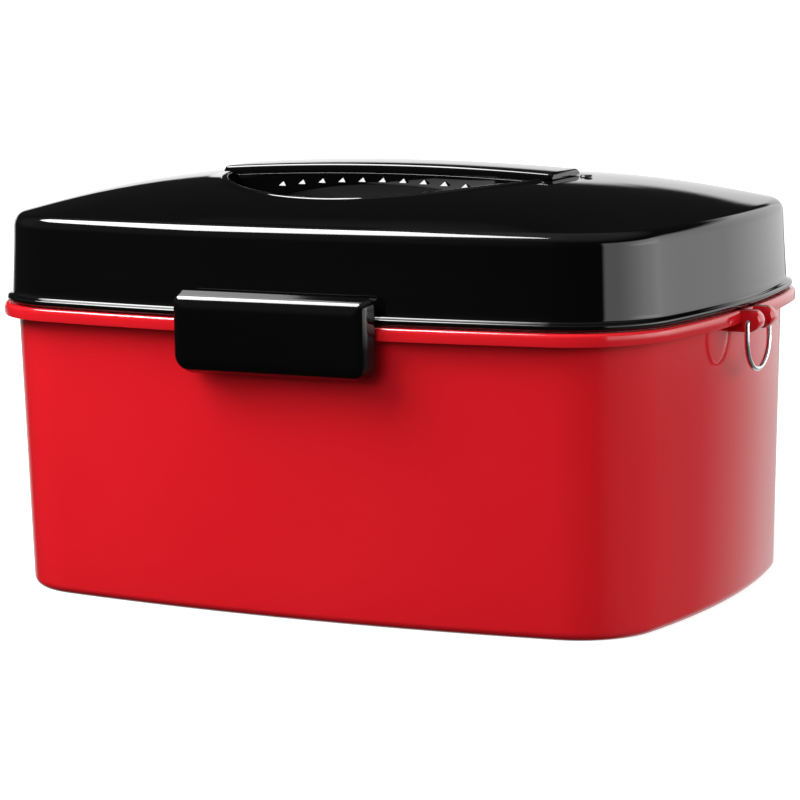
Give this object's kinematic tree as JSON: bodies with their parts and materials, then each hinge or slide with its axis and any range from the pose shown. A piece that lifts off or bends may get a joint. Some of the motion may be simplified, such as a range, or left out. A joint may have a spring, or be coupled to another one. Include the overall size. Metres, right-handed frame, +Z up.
{
  "type": "lunch box",
  "caption": "Bowed rectangular lunch box with a rolled-rim tub, hinged crowned lid, arched carrying bar over a round dish, front latch and wire strap rings.",
  "frame": {"origin": "middle of the flat base, on the surface the box stands on", "axes": "+Z up, -Y towards the latch at the front, +X towards the right-hand strap ring seen from the front"},
  "size_m": [0.3394, 0.2445, 0.182],
  "materials": {
    "red_enamel": "gloss",
    "black_gloss": "gloss",
    "black_satin": "satin",
    "liner": "satin",
    "foam": "matte",
    "seal": "matte",
    "steel": "satin",
    "ring_chrome": "polished"
  },
  "bodies": {
    "tub": {"tub_shell": "red_enamel", "tub_foam": "foam", "tub_liner": "liner", "hinge_pin_left": "steel", "hinge_pin_right": "steel"},
    "lid": {"lid_shell": "black_gloss", "lid_foam": "foam", "lid_liner": "liner", "lid_gasket": "seal", "lid_screws": "steel", "handle_core": "black_gloss", "handle_cap": "black_gloss", "handle_screws": "steel", "fill_plug": "black_satin", "latch_pin": "steel"},
    "latch": {"latch_cover": "black_gloss", "latch_hook": "black_satin"},
    "ring_left": {"ring_left": "ring_chrome"},
    "ring_right": {"ring_right": "ring_chrome"}
  },
  "joints": [
    {"name": "lid_hinge", "type": "hinge", "parent": "tub", "child": "lid", "pos_m": [0, 0.118, 0.1215], "axis": [-1, 0, 0], "range_deg": [0, 105]},
    {"name": "latch_swing", "type": "hinge", "parent": "lid", "child": "latch", "pos_m": [0, -0.1124, 0.1338], "axis": [-1, 0, 0], "range_deg": [0, 75]},
    {"name": "ring_right_swing", "type": "hinge", "parent": "tub", "child": "ring_right", "pos_m": [0.1652, 0, 0.1205], "axis": [0, -1, 0], "range_deg": [-20, 90]},
    {"name": "ring_left_swing", "type": "hinge", "parent": "tub", "child": "ring_left", "pos_m": [-0.1652, 0, 0.1205], "axis": [0, 1, 0], "range_deg": [-20, 90]}
  ]
}
